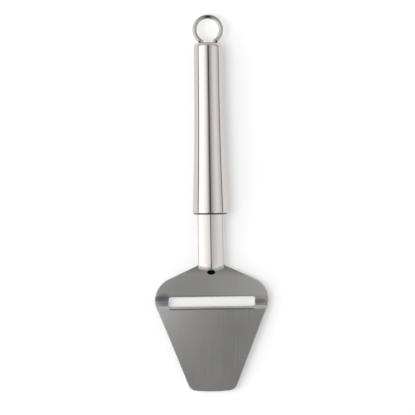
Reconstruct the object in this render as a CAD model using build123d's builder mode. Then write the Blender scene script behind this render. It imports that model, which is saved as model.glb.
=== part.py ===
from build123d import *
from math import atan2, cos, degrees, radians, sin, sqrt, tan
import os

# Cheese slicer, all stainless steel, in millimetres with +Z up.
# It lies on its handle with the blade towards -Y, the hanging ring towards +Y and the face that
# carries the slice upwards. The origin is under the middle of its outer box, where it is lowest.

# Handle: a flared tube, closed by a cap at the ring and by a plug round the neck of the blade
handle_length = 111.5
handle_rear_radius = 9.4
handle_front_radius = 11.6
handle_wall = 1.2
rear_shoulder_radius = 3.0
rear_head_length = 7.0
rear_spigot_length = 8.0
front_rim_radius = 1.8
front_spigot_length = 5.0
spigot_chamfer = 0.6
weld_clearance = 0.05

# Blade sheet: plate, dip at the slot and tang
sheet = 1.2
blade_reach = 115.0
plate_width = 74.0
widest_reach = 59.45
shoulder_radius = 15.0
shoulder_angle = 24.3
side_angle = 21.7
tip_bow = 1.0
tip_corner_radius = 5.5
root_corner_radius = 1.5

# Slot and cutting lip, in the dip that the sheet makes. The reach is measured back from the tip
slot_width = 55.8
slot_gap = 6.35
slot_corner_radius = 1.5
cutting_edge_reach = 55.2
lip_length = 2.5
dip_depth = 1.6
dip_rear_depth = 1.2
dip_fall_length = 2.6
dip_floor_length = 3.9
dip_rise_length = 3.5
dip_bend_radius = 1.5
bevel_length = 1.2
edge_land = 0.15

# Neck: the tang rolled into a flat-backed tube
neck_width = 16.9
neck_height = 7.0
neck_crown_radius = 20.0
neck_crown_offset = 2.2
neck_corner_radius = 1.9
neck_foot_overlap = 5.0
neck_tail = 12.0
seam_width = 0.45
root_hole_width = 5.2
root_hole_length = 3.0
root_hole_setback = 0.4
root_hole_depth = 0.6

# Hanging ring and its bearing in the cap
wire_radius = 1.375
ring_radius = 8.6
ring_height = 8.5
leg_spacing = 8.0
leg_bend_radius = 2.0
axle_depth = 3.0
axle_bend_radius = 2.0
axle_clearance = 0.05
ring_gap = 0.15
pocket_half_width = 7.1
ring_swing = 30.0
swing_margin = 2.0

# One overrun for every cut that has to pass a face
overrun = 5.0

# Places that follow from the sizes
overall_length = blade_reach + handle_length + ring_height + ring_radius + wire_radius
tip_y = -overall_length / 2
front_y = tip_y + blade_reach
rear_y = front_y + handle_length
tube_front_y = front_y + front_rim_radius
tube_rear_y = rear_y - rear_head_length
tube_length = tube_rear_y - tube_front_y
axis_z = handle_front_radius
under_z = axis_z - neck_height / 2
top_z = under_z + sheet
handle_axis = Axis((0, 0, axis_z), (0, 1, 0))
handle_plane = Plane.XY.offset(axis_z)


def cross_plane(y):
    """Plane across the handle: its x is +X, its y is +Z and its normal points to the tip."""
    return Plane(origin=(0, y, under_z), x_dir=(1, 0, 0), z_dir=(0, -1, 0))


def neck_section(grow):
    """Section of the neck with its back on the x axis, made larger or smaller all round."""
    crown_centre_z = neck_height - sqrt(neck_crown_radius**2 - neck_crown_offset**2)
    with BuildSketch() as section:
        with Locations((0, -grow)):
            Rectangle(
                neck_width + 2 * grow,
                neck_height + overrun,
                align=(Align.CENTER, Align.MIN),
            )
        # Each rolled edge is one arc, and the two meet in a blunt ridge at the seam
        for centre_x in (-neck_crown_offset, neck_crown_offset):
            with Locations((centre_x, crown_centre_z)):
                Circle(neck_crown_radius + grow, mode=Mode.INTERSECT)
        fillet(section.vertices().sort_by_distance((0, neck_height))[1:], neck_corner_radius + grow)
    return section.sketch


# Blade plate in plan. The shoulder and the side are tangent to one large round at the widest place.
round_centre_x = plate_width / 2 - shoulder_radius
round_centre_y = tip_y + widest_reach
side_normal_x = cos(radians(side_angle))
side_normal_y = -sin(radians(side_angle))
shoulder_normal_x = sin(radians(shoulder_angle))
shoulder_normal_y = cos(radians(shoulder_angle))
spread = 1 + side_normal_x * shoulder_normal_x + side_normal_y * shoulder_normal_y
shoulder_corner_x = round_centre_x + shoulder_radius * (side_normal_x + shoulder_normal_x) / spread
shoulder_corner_y = round_centre_y + shoulder_radius * (side_normal_y + shoulder_normal_y) / spread
tip_corner_y = tip_y + tip_bow
tip_corner_x = shoulder_corner_x - (shoulder_corner_y - tip_corner_y) * tan(radians(side_angle))
tip_arc_radius = (tip_corner_x**2 + tip_bow**2) / (2 * tip_bow)
root_corner_x = neck_width / 2
root_corner_y = shoulder_corner_y + (shoulder_corner_x - root_corner_x) * tan(radians(shoulder_angle))
root_end_y = root_corner_y + 2 * root_corner_radius

# The dip runs down from the handle side and up again under the cutting lip
cutting_edge_y = tip_y + cutting_edge_reach
dip_front_y = cutting_edge_y - lip_length
dip_low_y = dip_front_y + dip_fall_length
dip_floor_y = dip_low_y + dip_floor_length
dip_rear_y = dip_floor_y + dip_rise_length
lip_slope = dip_depth / dip_fall_length
lip_thickness_z = sheet * sqrt(1 + lip_slope**2)
edge_under_z = under_z - lip_length * lip_slope
bevel_back_y = cutting_edge_y - bevel_length
bevel_back_z = edge_under_z + bevel_length * lip_slope + lip_thickness_z

# Neck, from its foot on the plate to its tail inside the handle
neck_foot_y = root_corner_y - neck_foot_overlap
neck_tail_y = front_y + neck_tail
neck_length = neck_tail_y - neck_foot_y
dome_y = neck_foot_y + neck_height
root_hole_y = neck_foot_y + root_hole_setback


def neck_blank(grow):
    """Neck as a solid bar whose end is rounded down to the plate, smaller all round by -grow."""
    with BuildPart() as bar:
        with BuildSketch(cross_plane(neck_tail_y)):
            add(neck_section(grow))
        extrude(amount=neck_tail_y - dome_y)
        # The end is the same section turned down about its own back, which gives two soft lobes
        with BuildSketch(cross_plane(dome_y)):
            add(neck_section(grow))
        revolve(axis=Axis((0, dome_y, under_z), (1, 0, 0)), revolution_arc=90)
        split(bisect_by=Plane.XY.offset(under_z - grow), keep=Keep.TOP)
    return bar.part


neck_outside = neck_blank(0)
neck_inside = neck_blank(-sheet)

with BuildPart() as blade:
    # The sheet in the side view, from the tip over the dip to the root of the neck
    with BuildSketch(Plane.YZ):
        with BuildLine():
            FilletPolyline(
                (tip_y - overrun, under_z),
                (dip_front_y, under_z),
                (dip_low_y, under_z - dip_depth),
                (dip_floor_y, under_z - dip_rear_depth),
                (dip_rear_y, under_z),
                (root_end_y, under_z),
                radius=dip_bend_radius,
            )
            offset(amount=sheet, side=Side.LEFT)
        make_face()
    extrude(amount=plate_width, both=True)
    # Cut to the outline in plan
    with BuildSketch(Plane.XY) as outline:
        with BuildLine():
            RadiusArc((0, tip_y), (tip_corner_x, tip_corner_y), -tip_arc_radius)
            Polyline(
                (tip_corner_x, tip_corner_y),
                (shoulder_corner_x, shoulder_corner_y),
                (root_corner_x, root_corner_y),
                (root_corner_x, root_end_y),
                (0, root_end_y),
                (0, tip_y),
            )
        make_face()
        for corner, corner_radius in (
            ((tip_corner_x, tip_corner_y), tip_corner_radius),
            ((shoulder_corner_x, shoulder_corner_y), shoulder_radius),
            ((root_corner_x, root_corner_y), root_corner_radius),
        ):
            fillet(outline.vertices().sort_by_distance(corner)[0], corner_radius)
        mirror(about=Plane.YZ)
    extrude(amount=axis_z + neck_height, mode=Mode.INTERSECT)
    # The slot and the ground bevel of its cutting lip
    with BuildSketch(Plane.XY) as slot:
        with Locations((0, cutting_edge_y)):
            Rectangle(slot_width, slot_gap, align=(Align.CENTER, Align.MIN))
        fillet(slot.vertices(), slot_corner_radius)
    extrude(amount=axis_z + neck_height, mode=Mode.SUBTRACT)
    with BuildSketch(Plane.YZ):
        with BuildLine():
            Polyline(
                (cutting_edge_y, edge_under_z + edge_land),
                (bevel_back_y, bevel_back_z),
                (bevel_back_y, bevel_back_z + overrun),
                (cutting_edge_y, bevel_back_z + overrun),
                close=True,
            )
        make_face()
    extrude(amount=slot_width / 2 - slot_corner_radius, both=True, mode=Mode.SUBTRACT)
    # The rolled neck with its hollow, the seam of its two edges and the hole at its root
    add(neck_outside)
    add(neck_inside, mode=Mode.SUBTRACT)
    with BuildSketch(Plane.XY.offset(top_z)):
        with Locations((0, root_hole_y)):
            Rectangle(seam_width, neck_length + overrun, align=(Align.CENTER, Align.MIN))
    extrude(amount=neck_height, mode=Mode.SUBTRACT)
    with BuildSketch(Plane.XY.offset(top_z - root_hole_depth)):
        with Locations((0, root_hole_y)):
            Ellipse(root_hole_width / 2, root_hole_length / 2)
    extrude(amount=neck_height, mode=Mode.SUBTRACT)
blade.part.label = "blade"


def tube_outer_radius(from_rear):
    """Outer radius of the flared tube at a distance from its rear end."""
    flare = handle_front_radius - handle_rear_radius
    arc_radius = (tube_length**2 + flare**2) / (2 * flare)
    return handle_rear_radius + arc_radius - sqrt(arc_radius**2 - from_rear**2)


# Handle tube: parallel to the axis at the rear and flared in one long arc to the front
with BuildPart() as handle_tube:
    with BuildSketch(handle_plane):
        with BuildLine():
            outside = TangentArc(
                (handle_rear_radius, tube_rear_y),
                (handle_front_radius, tube_front_y),
                tangent=(0, -1),
            )
            inside = TangentArc(
                (handle_rear_radius - handle_wall, tube_rear_y),
                (handle_front_radius - handle_wall, tube_front_y),
                tangent=(0, -1),
            )
            Line(outside @ 0, inside @ 0)
            Line(outside @ 1, inside @ 1)
        make_face()
    revolve(axis=handle_axis)
handle_tube.part.label = "handle_tube"

# Front plug: a round-rimmed disc with a spigot in the tube and the neck's opening through both
front_spigot_radius = tube_outer_radius(tube_length - front_spigot_length) - handle_wall - weld_clearance
front_spigot_end_y = tube_front_y + front_spigot_length
with BuildPart() as front_plug:
    with BuildSketch(handle_plane) as plug_profile:
        with BuildLine():
            rim = CenterArc(
                (handle_front_radius - front_rim_radius, tube_front_y),
                front_rim_radius,
                270,
                90,
            )
            Polyline(
                rim @ 1,
                (front_spigot_radius, tube_front_y),
                (front_spigot_radius, front_spigot_end_y),
                (0, front_spigot_end_y),
                (0, front_y),
                rim @ 0,
            )
        make_face()
        chamfer(
            plug_profile.vertices().sort_by_distance((front_spigot_radius, front_spigot_end_y))[0],
            spigot_chamfer,
        )
    revolve(axis=handle_axis)
    with BuildSketch(cross_plane(front_spigot_end_y + overrun)):
        add(neck_section(weld_clearance))
    extrude(amount=front_spigot_length + front_rim_radius + 2 * overrun, mode=Mode.SUBTRACT)
front_plug.part.label = "front_plug"

# End cap: a round-shouldered head with a spigot in the tube. A fan-shaped pocket on each side of a
# middle tongue lets the ring's legs swing, and the ring's straight bar turns in the tongue's bore.
rear_spigot_radius = handle_rear_radius - handle_wall - weld_clearance
rear_spigot_end_y = tube_rear_y - rear_spigot_length
axle_y = rear_y - axle_depth
tongue_half_width = leg_spacing / 2 - axle_bend_radius - ring_gap
pocket_radius = wire_radius + ring_gap
pocket_angle = radians(ring_swing + swing_margin)
pocket_low_y = axle_y - pocket_radius * sin(pocket_angle)
pocket_low_half = pocket_radius * cos(pocket_angle)
pocket_mouth_y = rear_y + overrun
pocket_mouth_half = pocket_low_half + (pocket_mouth_y - pocket_low_y) * tan(pocket_angle)
with BuildPart() as end_cap:
    with BuildSketch(handle_plane) as cap_profile:
        with BuildLine():
            shoulder = CenterArc(
                (handle_rear_radius - rear_shoulder_radius, rear_y - rear_shoulder_radius),
                rear_shoulder_radius,
                0,
                90,
            )
            Polyline(
                shoulder @ 1,
                (0, rear_y),
                (0, rear_spigot_end_y),
                (rear_spigot_radius, rear_spigot_end_y),
                (rear_spigot_radius, tube_rear_y),
                (handle_rear_radius, tube_rear_y),
                shoulder @ 0,
            )
        make_face()
        chamfer(
            cap_profile.vertices().sort_by_distance((rear_spigot_radius, rear_spigot_end_y))[0],
            spigot_chamfer,
        )
    revolve(axis=handle_axis)
    for side in (-1, 1):
        with BuildSketch(Plane.YZ.offset(side * tongue_half_width)):
            with Locations((axle_y, axis_z)):
                Circle(pocket_radius)
            with BuildLine():
                Polyline(
                    (pocket_low_y, axis_z - pocket_low_half),
                    (pocket_mouth_y, axis_z - pocket_mouth_half),
                    (pocket_mouth_y, axis_z + pocket_mouth_half),
                    (pocket_low_y, axis_z + pocket_low_half),
                    close=True,
                )
            make_face()
        extrude(amount=side * (pocket_half_width - tongue_half_width), mode=Mode.SUBTRACT)
    with BuildSketch(Plane.YZ):
        with Locations((axle_y, axis_z)):
            Circle(wire_radius + axle_clearance)
    extrude(amount=tongue_half_width, both=True, mode=Mode.SUBTRACT)
end_cap.part.label = "end_cap"

# Hanging ring: half of the wire's centre line from the top of the loop to the middle of its bar.
# The round wire is drawn with sixteen flats, which keeps its facets few.
ring_y = rear_y + ring_height
leg_x = leg_spacing / 2
bend_x = leg_x + leg_bend_radius
bend_y = ring_y - sqrt((ring_radius + leg_bend_radius) ** 2 - bend_x**2)
loop_angle = degrees(atan2(ring_y - bend_y, bend_x))
with BuildPart() as hanging_ring:
    with BuildLine(handle_plane) as wire_path:
        loop = CenterArc((0, ring_y), ring_radius, 90, -(90 + loop_angle))
        neck_bend = CenterArc((bend_x, bend_y), leg_bend_radius, 180 - loop_angle, loop_angle)
        Line(neck_bend @ 1, (leg_x, axle_y + axle_bend_radius))
        foot_bend = CenterArc(
            (leg_x - axle_bend_radius, axle_y + axle_bend_radius),
            axle_bend_radius,
            0,
            -90,
        )
        Line(foot_bend @ 1, (0, axle_y))
    wire_origin = (0, ring_y + ring_radius, axis_z)
    with BuildSketch(Plane(origin=wire_origin, x_dir=(0, 1, 0), z_dir=(1, 0, 0))):
        RegularPolygon(wire_radius, side_count=16)
    sweep(path=wire_path.wires()[0])
    mirror(about=Plane.YZ)
hanging_ring.part.label = "hanging_ring"

os.makedirs("parts", exist_ok=True)
export_step(blade.part, "parts/blade.step")
export_step(handle_tube.part, "parts/handle_tube.step")
export_step(front_plug.part, "parts/front_plug.step")
export_step(end_cap.part, "parts/end_cap.step")
export_step(hanging_ring.part, "parts/hanging_ring.step")
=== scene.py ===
import math
import bpy
from mathutils import Matrix, Vector


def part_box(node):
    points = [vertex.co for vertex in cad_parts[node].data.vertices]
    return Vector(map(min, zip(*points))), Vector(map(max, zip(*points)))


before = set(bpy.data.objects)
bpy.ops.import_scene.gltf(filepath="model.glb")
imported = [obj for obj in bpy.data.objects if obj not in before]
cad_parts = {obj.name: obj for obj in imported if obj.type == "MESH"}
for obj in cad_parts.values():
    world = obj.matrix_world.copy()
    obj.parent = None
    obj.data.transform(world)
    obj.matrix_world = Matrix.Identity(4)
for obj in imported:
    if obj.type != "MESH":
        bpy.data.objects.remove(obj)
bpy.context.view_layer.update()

# Blade: one sheet of stainless steel, stamped to the flared plate, with the slot punched and its lip
# set down and ground to the cutting edge. The back end is rolled into the neck, whose two edges meet
# in the seam on top. The sheet is belt polished along its length, then washed and dried.
MM = 0.001
BLADE_TIP_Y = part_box("blade")[0][1]
BLADE_EDGE_Y = BLADE_TIP_Y + 55.2 * MM
BLADE_REAR_Y = BLADE_TIP_Y + 62.7 * MM
BLADE_TOP_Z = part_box("front_plug")[1][2] / 2 - 2.3 * MM
NECK_FOOT_Y = BLADE_TIP_Y + 77.05 * MM


def linear(hex_colour):
    """Turn an sRGB hex colour into the linear colour that a shader socket takes."""
    parts = [int(hex_colour[i:i + 2], 16) / 255 for i in (1, 3, 5)]
    return tuple(c / 12.92 if c <= 0.04045 else ((c + 0.055) / 1.055) ** 2.4 for c in parts) + (1.0,)


def feed(tree, node, inputs):
    """Set a node's inputs to values, or link them to sockets or to the first output of other nodes."""
    for name, value in inputs.items():
        if isinstance(value, bpy.types.Node):
            value = next(socket for socket in value.outputs if socket.enabled)
        if isinstance(value, bpy.types.NodeSocket):
            tree.links.new(value, node.inputs[name])
        else:
            node.inputs[name].default_value = value


def add_node(tree, kind, settings=None, inputs=None):
    """Add a shader node, set its properties and feed its inputs."""
    node = tree.nodes.new("ShaderNode" + kind)
    for name, value in (settings or {}).items():
        setattr(node, name, value)
    feed(tree, node, inputs or {})
    return node


def new_metal(name, colour):
    """Start a metal: its colour sits on the shader's own socket and its IOR stays as it is."""
    material = bpy.data.materials.new(name)
    material.use_nodes = True
    tree = material.node_tree
    shader = tree.nodes["Principled BSDF"]
    shader.inputs["Metallic"].default_value = 1.0
    shader.inputs["Base Color"].default_value = linear(colour)
    return material, tree, shader


# Nearly all of a noise lies between these two
NOISE_LOW, NOISE_HIGH = 0.3, 0.7


def polish_lines(tree, across, along, seed):
    """Long fine lines along the slicer, as a polishing belt leaves them, from 0 to 1."""
    stretch = add_node(tree, "Mapping", {}, {
        "Vector": add_node(tree, "TexCoord").outputs["Object"],
        "Scale": (1 / across, 1 / along, 1 / across),
    })
    noise = add_node(tree, "TexNoise", {"noise_dimensions": "4D"}, {
        "Vector": stretch, "W": seed, "Scale": 1.0, "Detail": 3.0, "Roughness": 0.55,
    })
    return add_node(tree, "MapRange", {}, {"Value": noise, "From Min": NOISE_LOW, "From Max": NOISE_HIGH})


def clouds(tree, size, seed):
    """Broad soft patches from 0 to 1, where hands and cloths have dulled the polish a little."""
    noise = add_node(tree, "TexNoise", {"noise_dimensions": "4D"}, {
        "Vector": add_node(tree, "TexCoord").outputs["Object"],
        "W": seed, "Scale": 1 / size, "Detail": 2.0, "Roughness": 0.5,
    })
    return add_node(tree, "MapRange", {}, {"Value": noise, "From Min": NOISE_LOW, "From Max": NOISE_HIGH})


def between(tree, value, low, high, edge):
    """One between two limits and zero outside them, with soft edges."""
    return add_node(tree, "Math", {"operation": "MULTIPLY"}, {
        0: add_node(tree, "MapRange", {}, {"Value": value, "From Min": low - edge, "From Max": low}),
        1: add_node(tree, "MapRange", {}, {"Value": value, "From Min": high + edge, "From Max": high}),
    })


# Belt-polished stainless sheet: a soft satin that blurs what it mirrors. The real polish lines are
# under 0.1 mm apart, too fine to show, so they are drawn coarser
BLADE_POLISH_LINE = 0.35 * MM
BLADE_POLISH_LENGTH = 14 * MM
BLADE_CLOUD = 22 * MM
BLADE_SATIN = 0.26
BLADE_LINE_SATIN = 0.012
BLADE_CLOUD_SATIN = 0.01
BLADE_REAR_SATIN = 0.035
BLADE_REAR_BLEND = 1 * MM
BLADE_GROUND = 0.10
BLADE_BEVEL = 1.2 * MM
BLADE_BEVEL_BLEND = 0.1 * MM
NECK_POLISH = 0.20
NECK_POLISH_START_Y = NECK_FOOT_Y + 2 * MM
NECK_POLISH_FULL_Y = NECK_FOOT_Y + 6 * MM
blade_metal, tree, shader = new_metal("polished_stainless_sheet", "#CBCAC8")
place = add_node(tree, "TexCoord").outputs["Object"]
apart = add_node(tree, "SeparateXYZ", {}, {"Vector": place})
side, along, height = (apart.outputs[name] for name in ("X", "Y", "Z"))
lines = polish_lines(tree, BLADE_POLISH_LINE, BLADE_POLISH_LENGTH, 1.0)
patches = clouds(tree, BLADE_CLOUD, 2.0)
satin = add_node(tree, "Math", {"operation": "ADD"}, {
    0: add_node(tree, "Mix", {}, {
        "Factor": lines, "A": BLADE_SATIN - BLADE_LINE_SATIN, "B": BLADE_SATIN + BLADE_LINE_SATIN,
    }),
    1: add_node(tree, "Mix", {}, {"Factor": patches, "A": -BLADE_CLOUD_SATIN, "B": BLADE_CLOUD_SATIN}),
})
# The ground bevel along the slot is finer than the sheet, and the plate behind the slot a little duller
bevel = between(tree, along, BLADE_EDGE_Y - BLADE_BEVEL, BLADE_EDGE_Y, BLADE_BEVEL_BLEND)
finish = add_node(tree, "Mix", {}, {"Factor": bevel, "A": satin, "B": BLADE_GROUND})
finish = add_node(tree, "Math", {"operation": "MULTIPLY_ADD"}, {
    0: between(tree, along, BLADE_REAR_Y, NECK_FOOT_Y, BLADE_REAR_BLEND),
    1: BLADE_REAR_SATIN,
    2: finish,
})
# The neck is polished finer than the plate
on_neck = add_node(tree, "MapRange", {}, {
    "Value": along, "From Min": NECK_POLISH_START_Y, "From Max": NECK_POLISH_FULL_Y,
})
finish = add_node(tree, "Mix", {}, {"Factor": on_neck, "A": finish, "B": NECK_POLISH})

# The belt has rounded the plate's edges a little
BLADE_EDGE_RADIUS = 1.0 * MM
EDGE_ROUND_FULL_Y = NECK_FOOT_Y - 2 * MM
EDGE_ROUND_END_Y = NECK_FOOT_Y - 1 * MM
BLADE_LINE_STRENGTH = 0.04
LINE_DEPTH = 0.008 * MM
on_plate = add_node(tree, "MapRange", {}, {
    "Value": along, "From Min": EDGE_ROUND_END_Y, "From Max": EDGE_ROUND_FULL_Y,
})
rounded = add_node(tree, "Mix", {"data_type": "VECTOR"}, {
    "Factor": on_plate,
    "A": add_node(tree, "NewGeometry").outputs["Normal"],
    "B": add_node(tree, "Bevel", {"samples": 8}, {"Radius": BLADE_EDGE_RADIUS}),
})
dents = add_node(tree, "Bump", {}, {
    "Strength": BLADE_LINE_STRENGTH, "Distance": LINE_DEPTH, "Height": lines, "Normal": rounded,
})
# Pressing leaves the plate a millimetre or so out of flat. It bows across in a curve of about 0.7 m
# radius, most of all at the slot, and less towards the tip and the neck. The middle of the bow lies to
# the right in front of the slot and to the left behind it
PLATE_CURVE = 1.4
BOW_FULL_Y = NECK_FOOT_Y - 2 * MM
BOW_END_Y = NECK_FOOT_Y + 4 * MM
BOW_LINE_FRONT = 20 * MM
BOW_LINE_REAR = -26 * MM
to_bow_line = add_node(tree, "MapRange", {}, {
    "Value": along, "From Min": BLADE_EDGE_Y, "From Max": BLADE_REAR_Y,
    "To Min": -BOW_LINE_FRONT, "To Max": -BOW_LINE_REAR,
})
from_bow_line = add_node(tree, "Math", {"operation": "MULTIPLY_ADD"}, {0: side, 1: 0.5, 2: to_bow_line})
bow_share = add_node(tree, "Math", {"operation": "MULTIPLY"}, {
    0: add_node(tree, "MapRange", {}, {
        "Value": along, "From Min": BLADE_TIP_Y, "From Max": BLADE_EDGE_Y,
    }),
    1: add_node(tree, "MapRange", {}, {
        "Value": along, "From Min": BOW_END_Y, "From Max": BOW_FULL_Y,
    }),
})
bow = add_node(tree, "Math", {"operation": "MULTIPLY"}, {0: from_bow_line, 1: side})
bow = add_node(tree, "Math", {"operation": "MULTIPLY"}, {0: bow, 1: bow_share})
bowed = add_node(tree, "Bump", {"invert": True}, {
    "Strength": 1.0, "Distance": PLATE_CURVE, "Height": bow, "Normal": dents,
})

# The steel is a shade darker along the polish lines, and the neck's finer polish is a little warmer
tone = add_node(tree, "Mix", {"data_type": "RGBA"}, {
    "Factor": lines, "A": linear("#C9C8C6"), "B": linear("#CDCCCA"),
})
tone = add_node(tree, "Mix", {"data_type": "RGBA"}, {
    "Factor": on_neck, "A": tone, "B": linear("#CEC9C6"),
})
# Painted shade: a darker line behind the bevel, where the lip bends down
BEND_SHADE_FRONT = BLADE_EDGE_Y - 2.1 * MM
BEND_SHADE_REAR = BLADE_EDGE_Y - 1.3 * MM
BEND_SHADE_BLEND = 0.2 * MM
BEND_SHADE_HALF_WIDTH = 27 * MM
BEND_SHADE_END = 1 * MM
bend_shade = add_node(tree, "Math", {"operation": "MULTIPLY"}, {
    0: between(tree, along, BEND_SHADE_FRONT, BEND_SHADE_REAR, BEND_SHADE_BLEND),
    1: between(tree, side, -BEND_SHADE_HALF_WIDTH, BEND_SHADE_HALF_WIDTH, BEND_SHADE_END),
})
tone = add_node(tree, "Mix", {"data_type": "RGBA"}, {
    "Factor": bend_shade, "A": tone, "B": linear("#888684"),
})
# Painted shade in the dips beside the slot, over the left one and in a band on the right one. Each spot
# is an oval, given by its middle, its half widths and its colour. It fades out
# # between the two shares of those half widths
DIP_SHADES = (
    ((-31.1 * MM, BLADE_EDGE_Y + 4.7 * MM), (4.0 * MM, 4.5 * MM), "#A8ABAD"),
    ((30.6 * MM, BLADE_EDGE_Y + 3.1 * MM), (5.0 * MM, 1.6 * MM), "#A9A7A6"),
)
DIP_SHADE_INNER, DIP_SHADE_OUTER = 0.75, 1.15
for middle, half_size, shade_colour in DIP_SHADES:
    from_dip = add_node(tree, "Mapping", {}, {
        "Vector": place,
        "Location": (-middle[0] / half_size[0], -middle[1] / half_size[1], 0),
        "Scale": (1 / half_size[0], 1 / half_size[1], 0),
    })
    dip_shade = add_node(tree, "MapRange", {"interpolation_type": "SMOOTHSTEP"}, {
        "Value": add_node(tree, "VectorMath", {"operation": "LENGTH"}, {0: from_dip}),
        "From Min": DIP_SHADE_OUTER, "From Max": DIP_SHADE_INNER,
    })
    tone = add_node(tree, "Mix", {"data_type": "RGBA"}, {
        "Factor": dip_shade, "A": tone, "B": linear(shade_colour),
    })
# Painted shade: the hole at the neck's root, the seam and the neck's hollow are painted near black, where
# shade falls into them
HOLE_Y = BLADE_TIP_Y + 77.4 * MM
HOLE_HALF_WIDTH = 2.75 * MM
HOLE_HALF_LENGTH = 1.65 * MM
HOLE_RIM = 0.94
HOLE_FLOOR_Z = BLADE_TOP_Z - 0.8 * MM
CLEAN_EDGE = 0.01 * MM
SEAM_HALF_WIDTH = 0.24 * MM
SEAM_START_Y = NECK_FOOT_Y + 3.5 * MM
HOLLOW_HALF_WIDTH = 7.3 * MM
HOLLOW_BOTTOM_Z = BLADE_TOP_Z - 0.05 * MM
HOLLOW_TOP_Z = BLADE_TOP_Z + 1.5 * MM
HOLLOW_SIDE_BLEND = 0.05 * MM
NECK_FLOOR_Z = BLADE_TOP_Z - 0.1 * MM
from_hole = add_node(tree, "Mapping", {}, {
    "Vector": place,
    "Location": (0, -HOLE_Y / HOLE_HALF_LENGTH, 0),
    "Scale": (1 / HOLE_HALF_WIDTH, 1 / HOLE_HALF_LENGTH, 0),
})
hole = add_node(tree, "Math", {"operation": "MULTIPLY"}, {
    0: add_node(tree, "MapRange", {}, {
        "Value": add_node(tree, "VectorMath", {"operation": "LENGTH"}, {0: from_hole}),
        "From Min": 1.0, "From Max": HOLE_RIM,
    }),
    1: add_node(tree, "Math", {"operation": "GREATER_THAN"}, {0: height, 1: HOLE_FLOOR_Z}),
})
seam = between(tree, side, -SEAM_HALF_WIDTH, SEAM_HALF_WIDTH, CLEAN_EDGE)
hollow = add_node(tree, "Math", {"operation": "MULTIPLY"}, {
    0: between(tree, side, -HOLLOW_HALF_WIDTH, HOLLOW_HALF_WIDTH, HOLLOW_SIDE_BLEND),
    1: between(tree, height, HOLLOW_BOTTOM_Z, HOLLOW_TOP_Z, CLEAN_EDGE),
})
in_neck = add_node(tree, "Math", {"operation": "MULTIPLY"}, {
    0: add_node(tree, "Math", {"operation": "GREATER_THAN"}, {0: along, 1: SEAM_START_Y}),
    1: add_node(tree, "Math", {"operation": "GREATER_THAN"}, {0: height, 1: NECK_FLOOR_Z}),
})
neck_shade = add_node(tree, "Math", {"operation": "MULTIPLY"}, {
    0: add_node(tree, "Math", {"operation": "MAXIMUM"}, {0: seam, 1: hollow}), 1: in_neck,
})
tone = add_node(tree, "Mix", {"data_type": "RGBA"}, {
    "Factor": add_node(tree, "Math", {"operation": "MAXIMUM"}, {0: hole, 1: neck_shade}),
    "A": tone,
    "B": linear("#16130F"),
})
feed(tree, shader, {"Base Color": tone, "Roughness": finish, "Normal": bowed})
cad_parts["blade"].material_slots[0].material = blade_metal

# Front plug: a turned disc of stainless steel with a rounded rim. Its spigot is a close fit in the
# mouth of the handle, its opening fits the neck, and both joints are welded and polished flush.
PLUG_FACE_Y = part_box("front_plug")[0][1]
PLUG_AXIS_Z = (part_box("front_plug")[0][2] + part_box("front_plug")[1][2]) / 2
PLUG_LATHE_LINE = 0.3 * MM
PLUG_LATHE_DEPTH = 0.02 * MM
PLUG_LATHE_STRENGTH = 0.05
PLUG_POLISH_FINE, PLUG_POLISH_COARSE = 0.12, 0.17

# Turned and polished stainless: fine rings round the axis, drawn coarser than the tool leaves them
plug_metal, tree, shader = new_metal("turned_stainless_disc", "#CAC8C5")
place = add_node(tree, "TexCoord").outputs["Object"]
from_axis = add_node(tree, "Mapping", {}, {
    "Vector": place, "Location": (0, 0, -PLUG_AXIS_Z), "Scale": (1, 0, 1),
})
turn_radius = add_node(tree, "VectorMath", {"operation": "LENGTH"}, {0: from_axis})
rings = add_node(tree, "TexNoise", {"noise_dimensions": "1D"}, {
    "W": add_node(tree, "Math", {"operation": "DIVIDE"}, {0: turn_radius, 1: PLUG_LATHE_LINE}),
    "Scale": 1.0,
    "Detail": 2.0,
})
polish = add_node(tree, "MapRange", {}, {
    "Value": rings, "From Min": NOISE_LOW, "From Max": NOISE_HIGH,
    "To Min": PLUG_POLISH_FINE, "To Max": PLUG_POLISH_COARSE,
})
dents = add_node(tree, "Bump", {}, {
    "Strength": PLUG_LATHE_STRENGTH, "Distance": PLUG_LATHE_DEPTH, "Height": rings,
})
# Painted shade: a dark ring is painted on the front edge of the rim
RIM_SHADE_FRONT = PLUG_FACE_Y + 0.12 * MM
RIM_SHADE_REAR = PLUG_FACE_Y + 0.7 * MM
RIM_SHADE_BLEND = 0.45 * MM
plug_along = add_node(tree, "SeparateXYZ", {}, {"Vector": place}).outputs["Y"]
tone = add_node(tree, "Mix", {"data_type": "RGBA"}, {
    "Factor": between(tree, plug_along, RIM_SHADE_FRONT, RIM_SHADE_REAR, RIM_SHADE_BLEND),
    "A": linear("#CAC8C5"),
    "B": linear("#2E2B28"),
})
feed(tree, shader, {"Base Color": tone, "Roughness": polish, "Normal": dents})
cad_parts["front_plug"].material_slots[0].material = plug_metal

# Handle tube: drawn stainless tube, swaged to its flare and polished lengthwise to a mirror that is
# only just soft. Its ends are welded to the plug and the cap and dressed flush.
HANDLE_POLISH_LINE = 0.25 * MM
HANDLE_POLISH_LENGTH = 30 * MM
HANDLE_CLOUD = 16 * MM
HANDLE_MIRROR = 0.075
HANDLE_SPREAD = 0.012
HANDLE_LINE_STRENGTH = 0.03

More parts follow.
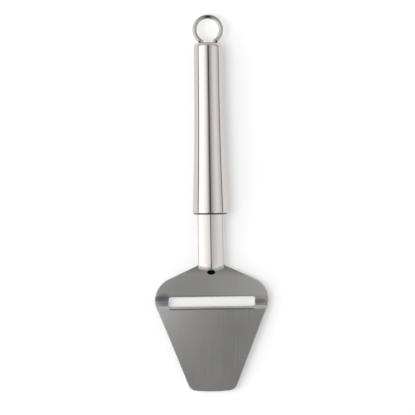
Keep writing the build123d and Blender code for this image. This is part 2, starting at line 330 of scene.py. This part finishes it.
# Polished stainless tube: a near mirror, with faint lines along it, drawn coarser than they are, and
# a slight haze from handling
handle_metal, tree, shader = new_metal("polished_stainless_tube", "#CEC8C5")
lines = polish_lines(tree, HANDLE_POLISH_LINE, HANDLE_POLISH_LENGTH, 5.0)
haze = clouds(tree, HANDLE_CLOUD, 6.0)
mirror = add_node(tree, "Math", {"operation": "ADD"}, {
    0: add_node(tree, "Mix", {}, {
        "Factor": lines, "A": HANDLE_MIRROR - HANDLE_SPREAD, "B": HANDLE_MIRROR + HANDLE_SPREAD,
    }),
    1: add_node(tree, "Mix", {}, {"Factor": haze, "A": -HANDLE_SPREAD, "B": HANDLE_SPREAD}),
})
dents = add_node(tree, "Bump", {}, {
    "Strength": HANDLE_LINE_STRENGTH, "Distance": LINE_DEPTH, "Height": lines,
})
feed(tree, shader, {"Roughness": mirror, "Normal": dents})
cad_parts["handle_tube"].material_slots[0].material = handle_metal

# End cap: a turned stainless slug with a rounded shoulder, welded into the rear of the tube and
# polished with it. The ring's straight bar turns in its cross bore.
CAP_FACE_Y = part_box("end_cap")[1][1]
END_SHADE_START_Y = CAP_FACE_Y - 0.8 * MM
END_SHADE_FULL_Y = CAP_FACE_Y - 0.2 * MM

# The cap's metal is the tube's, but with painted shade darkening its end face
cap_metal = handle_metal.copy()
cap_metal.name = "polished_stainless_cap"
tree = cap_metal.node_tree
place = add_node(tree, "TexCoord").outputs["Object"]
end_shade = add_node(tree, "MapRange", {}, {
    "Value": add_node(tree, "SeparateXYZ", {}, {"Vector": place}).outputs["Y"],
    "From Min": END_SHADE_START_Y,
    "From Max": END_SHADE_FULL_Y,
})
tone = add_node(tree, "Mix", {"data_type": "RGBA"}, {
    "Factor": end_shade, "A": linear("#CEC8C5"), "B": linear("#787673"),
})
feed(tree, tree.nodes["Principled BSDF"], {"Base Color": tone})
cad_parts["end_cap"].material_slots[0].material = cap_metal

# Hanging ring: bright drawn stainless wire, bent round a mandrel and butt welded, with its straight
# bar held in the cap. The finished ring is tumbled.
WIRE_CLOUD = 5 * MM
WIRE_PEEL = 0.2 * MM
WIRE_PEEL_STRENGTH = 0.03
WIRE_GLOSS, WIRE_DULL = 0.05, 0.08

# Bright drawn wire: smooth and glossy, with a little orange peel from the tumbling
wire_metal, tree, shader = new_metal("bright_drawn_stainless_wire", "#AEACA9")
gloss = add_node(tree, "Mix", {}, {
    "Factor": clouds(tree, WIRE_CLOUD, 8.0), "A": WIRE_GLOSS, "B": WIRE_DULL,
})
peel = add_node(tree, "Bump", {}, {
    "Strength": WIRE_PEEL_STRENGTH, "Distance": LINE_DEPTH, "Height": clouds(tree, WIRE_PEEL, 9.0),
})
feed(tree, shader, {"Roughness": gloss, "Normal": peel})
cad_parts["hanging_ring"].material_slots[0].material = wire_metal

# Table: a plain sheet of white paper on a table top, where the slicer lies on the front of its handle
# and throws its soft shadow.
TABLE_HALF = 6.0
PAPER_GLOW = 0.28
table_mesh = bpy.data.meshes.new("table")
table_corners = [(x * TABLE_HALF, y * TABLE_HALF, 0) for x, y in ((-1, -1), (1, -1), (1, 1), (-1, 1))]
table_mesh.from_pydata(table_corners, [], [(0, 1, 2, 3)])
table = bpy.data.objects.new("table", table_mesh)
bpy.context.scene.collection.objects.link(table)

# Matt white paper, with a little light of its own for what looks at it, so that it comes out white
paper = bpy.data.materials.new("matt_white_paper")
paper.use_nodes = True
tree = paper.node_tree
shader = tree.nodes["Principled BSDF"]
feed(tree, shader, {"Base Color": linear("#CECECE"), "Roughness": 1.0, "Specular IOR Level": 0.0})
ray = add_node(tree, "LightPath")
seen = add_node(tree, "Math", {"operation": "MAXIMUM"}, {
    0: ray.outputs["Is Camera Ray"], 1: ray.outputs["Is Glossy Ray"],
})
seen = add_node(tree, "Math", {"operation": "MAXIMUM"}, {0: seen, 1: ray.outputs["Is Transmission Ray"]})
glow = add_node(tree, "Emission", {}, {
    "Color": linear("#FFFFFF"),
    "Strength": add_node(tree, "Math", {"operation": "MULTIPLY"}, {0: seen, 1: PAPER_GLOW}),
})
lit_paper = add_node(tree, "AddShader", {}, {0: shader, 1: glow})
feed(tree, tree.nodes["Material Output"], {"Surface": lit_paper})
table_mesh.materials.append(paper)

# Studio: a large soft panel on the left, a dimmer one on the right, and the dark slit between them
# where the camera stands. Each stop is an angle from straight up and a brightness, right positive.
PANELS = (
    (-100, 0.02), (-90, 0.02), (-85, 0.04), (-82, 1.61), (-76, 1.87), (-50, 1.87), (-43, 1.70),
    (-35, 1.53), (-27, 1.39), (-20, 1.16), (-12, 0.82), (-6, 0.41), (-2, 0.04), (2, 0.06), (5, 0.30),
    (11, 0.52), (21, 0.76), (27, 0.88), (34, 0.98), (40, 1.06), (48, 1.14), (56, 1.10), (64, 0.97),
    (72, 0.89), (80, 0.85), (84, 0.51), (87, 0.04), (96, 0.02),
)
# Along the slicer the slit closes towards the near end, while the panels themselves run on
SLIT_ENDS = (
    (-100, 0.03), (-84, 0.03), (-70, 0.20), (-50, 0.46), (-25, 0.62), (-10, 0.95), (0, 1.0), (20, 0.95),
    (35, 0.80), (60, 0.75), (80, 0.70), (88, 0.10), (100, 0.10),
)
PANEL_ENDS = (
    (-100, 0.03), (-90, 0.30), (-86, 1.00), (-56, 1.12), (-25, 1.0), (0, 1.0), (20, 0.95), (35, 0.80),
    (60, 0.75), (80, 0.70), (88, 0.10), (100, 0.10),
)
ROOM = 0.89
ROOM_START, ROOM_FULL = 0.5, 0.92
SLIT_SIDE, PANEL_SIDE = 0.17, 0.34
world = bpy.data.worlds.new("studio")
world.use_nodes = True
bpy.context.scene.world = world
tree = world.node_tree
look = add_node(tree, "SeparateXYZ", {}, {"Vector": add_node(tree, "TexCoord").outputs["Generated"]})


def by_angle(sideways, stops):
    """Brightness by the angle from straight up towards one side, through a ramp of stops."""
    first, last = stops[0][0], stops[-1][0]
    top = max(value for _, value in stops)
    angle = add_node(tree, "Math", {"operation": "ARCTAN2"}, {0: sideways, 1: look.outputs["Z"]})
    ramp = add_node(tree, "ValToRGB", {}, {
        "Fac": add_node(tree, "MapRange", {}, {
            "Value": angle, "From Min": math.radians(first), "From Max": math.radians(last),
        }),
    })
    while len(ramp.color_ramp.elements) < len(stops):
        ramp.color_ramp.elements.new(0.5)
    for element, (degrees, value) in zip(ramp.color_ramp.elements, stops):
        element.position = (degrees - first) / (last - first)
        element.color = (value / top, value / top, value / top, 1)
    return add_node(tree, "Math", {"operation": "MULTIPLY"}, {0: ramp, 1: top})


# Far along the slicer the panels give way to the even light of the room
beyond = add_node(tree, "MapRange", {"interpolation_type": "SMOOTHSTEP"}, {
    "Value": add_node(tree, "Math", {"operation": "ABSOLUTE"}, {0: look.outputs["Y"]}),
    "From Min": ROOM_START,
    "From Max": ROOM_FULL,
})
sides = add_node(tree, "Mix", {}, {"Factor": beyond, "A": by_angle(look.outputs["X"], PANELS), "B": ROOM})
on_panel = add_node(tree, "MapRange", {"interpolation_type": "SMOOTHSTEP"}, {
    "Value": add_node(tree, "Math", {"operation": "ABSOLUTE"}, {0: look.outputs["X"]}),
    "From Min": SLIT_SIDE,
    "From Max": PANEL_SIDE,
})
ends = add_node(tree, "Mix", {}, {
    "Factor": on_panel,
    "A": by_angle(look.outputs["Y"], SLIT_ENDS),
    "B": by_angle(look.outputs["Y"], PANEL_ENDS),
})
level = add_node(tree, "Math", {"operation": "MULTIPLY"}, {0: sides, 1: ends})
# The camera itself sees a plain white backdrop where it looks past the table
level = add_node(tree, "Mix", {}, {
    "Factor": add_node(tree, "LightPath").outputs["Is Camera Ray"], "A": level, "B": 1.0,
})
feed(tree, tree.nodes["Background"], {"Color": linear("#FFFFFF"), "Strength": level})

# Key: a soft lamp overhead and a little to the left, which throws the shadow to the right of the
# slicer. The metal doesn't mirror it.
KEY_ANGLE = math.radians(16)
KEY_DISTANCE = 1.2
KEY_LONG = 0.5
KEY_SHORT = 0.35
KEY_POWER = 6.0
key_data = bpy.data.lights.new("key", "AREA")
key_data.shape = "RECTANGLE"
key_data.size = KEY_LONG
key_data.size_y = KEY_SHORT
key_data.energy = KEY_POWER
key = bpy.data.objects.new("key", key_data)
bpy.context.scene.collection.objects.link(key)
key.matrix_world = Matrix.Rotation(-KEY_ANGLE, 4, "Y") @ Matrix.Translation((0, 0, KEY_DISTANCE))
key.visible_glossy = False

# Camera: straight above on a long lens, turned a little, as in the photograph. The frame is 415
# pixels square, and the slicer's origin falls on the pixel below.
FRAME_PIXELS = 415
ORIGIN_PIXEL = (210.28, 203.0)
MM_PER_PIXEL = 0.65 * MM
SENSOR_WIDTH = 36.0
CAMERA_HEIGHT = 1.6
LOOK_HEIGHT = 10 * MM
TURN = math.radians(-0.816)
camera_data = bpy.data.cameras.new("camera")
camera_data.sensor_width = SENSOR_WIDTH
camera_data.sensor_fit = "HORIZONTAL"
camera_data.lens = SENSOR_WIDTH * CAMERA_HEIGHT / (FRAME_PIXELS * MM_PER_PIXEL)
camera = bpy.data.objects.new("camera", camera_data)
bpy.context.scene.collection.objects.link(camera)
turn = Matrix.Rotation(TURN, 4, "Z")
aside = Vector((FRAME_PIXELS / 2 - ORIGIN_PIXEL[0], ORIGIN_PIXEL[1] - FRAME_PIXELS / 2, 0)) * MM_PER_PIXEL
above = Vector((0, 0, LOOK_HEIGHT + CAMERA_HEIGHT))
camera.matrix_world = Matrix.Translation(turn @ aside + above) @ turn
bpy.context.scene.camera = camera
bpy.context.scene.view_settings.view_transform = "Standard"
